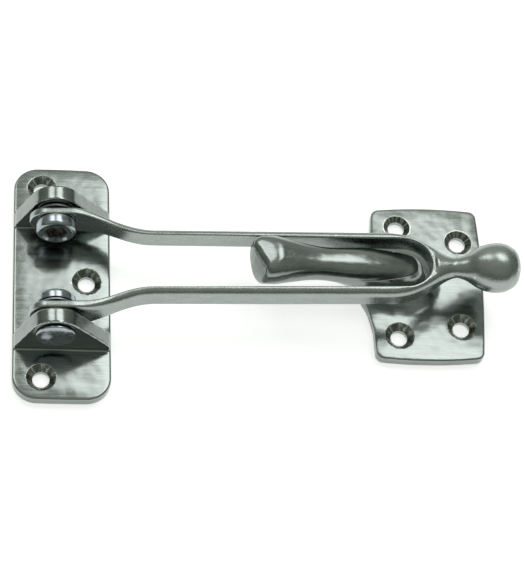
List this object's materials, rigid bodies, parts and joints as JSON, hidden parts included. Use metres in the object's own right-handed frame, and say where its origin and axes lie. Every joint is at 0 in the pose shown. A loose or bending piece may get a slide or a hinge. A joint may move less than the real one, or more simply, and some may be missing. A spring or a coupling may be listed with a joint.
{
  "type": "door chain guard",
  "caption": "Swing-bar door guard: a looped arm turns on lugs of a hinge plate and drops over the hook of a separate strike plate.",
  "frame": {"origin": "centre of the hinge plate's back face, which lies on the frame or wall", "axes": "+X from the hinge plate to the strike plate, +Y along the plates' length and the pivot line, +Z off the plates"},
  "size_m": [0.1495, 0.078, 0.0255],
  "materials": {
    "satin_casting": "brushed satin chrome on a zinc or brass casting",
    "bright_fastener": "bright zinc plated steel",
    "zinc_washer": "dull zinc plated steel"
  },
  "bodies": {
    "hinge": {"hinge_plate": "satin_casting", "pivot_screw_upper": "bright_fastener", "pivot_screw_lower": "bright_fastener", "barrel_nut_upper": "bright_fastener", "barrel_nut_lower": "bright_fastener", "lug_washer_upper": "zinc_washer", "lug_washer_lower": "zinc_washer", "head_washer_upper": "zinc_washer", "head_washer_lower": "zinc_washer"},
    "arm": {"swing_arm": "satin_casting"},
    "strike": {"hook_plate": "satin_casting"}
  },
  "joints": [
    {"name": "arm_swing", "type": "hinge", "parent": "hinge", "child": "arm", "pos_m": [-0.0022, 0, 0.0124], "axis": [0, -1, 0], "range_deg": [0, 175]},
    {"name": "strike_travel", "type": "slide", "parent": "hinge", "child": "strike", "axis": [1, 0, 0], "range_m": [-0.072, 0]}
  ]
}
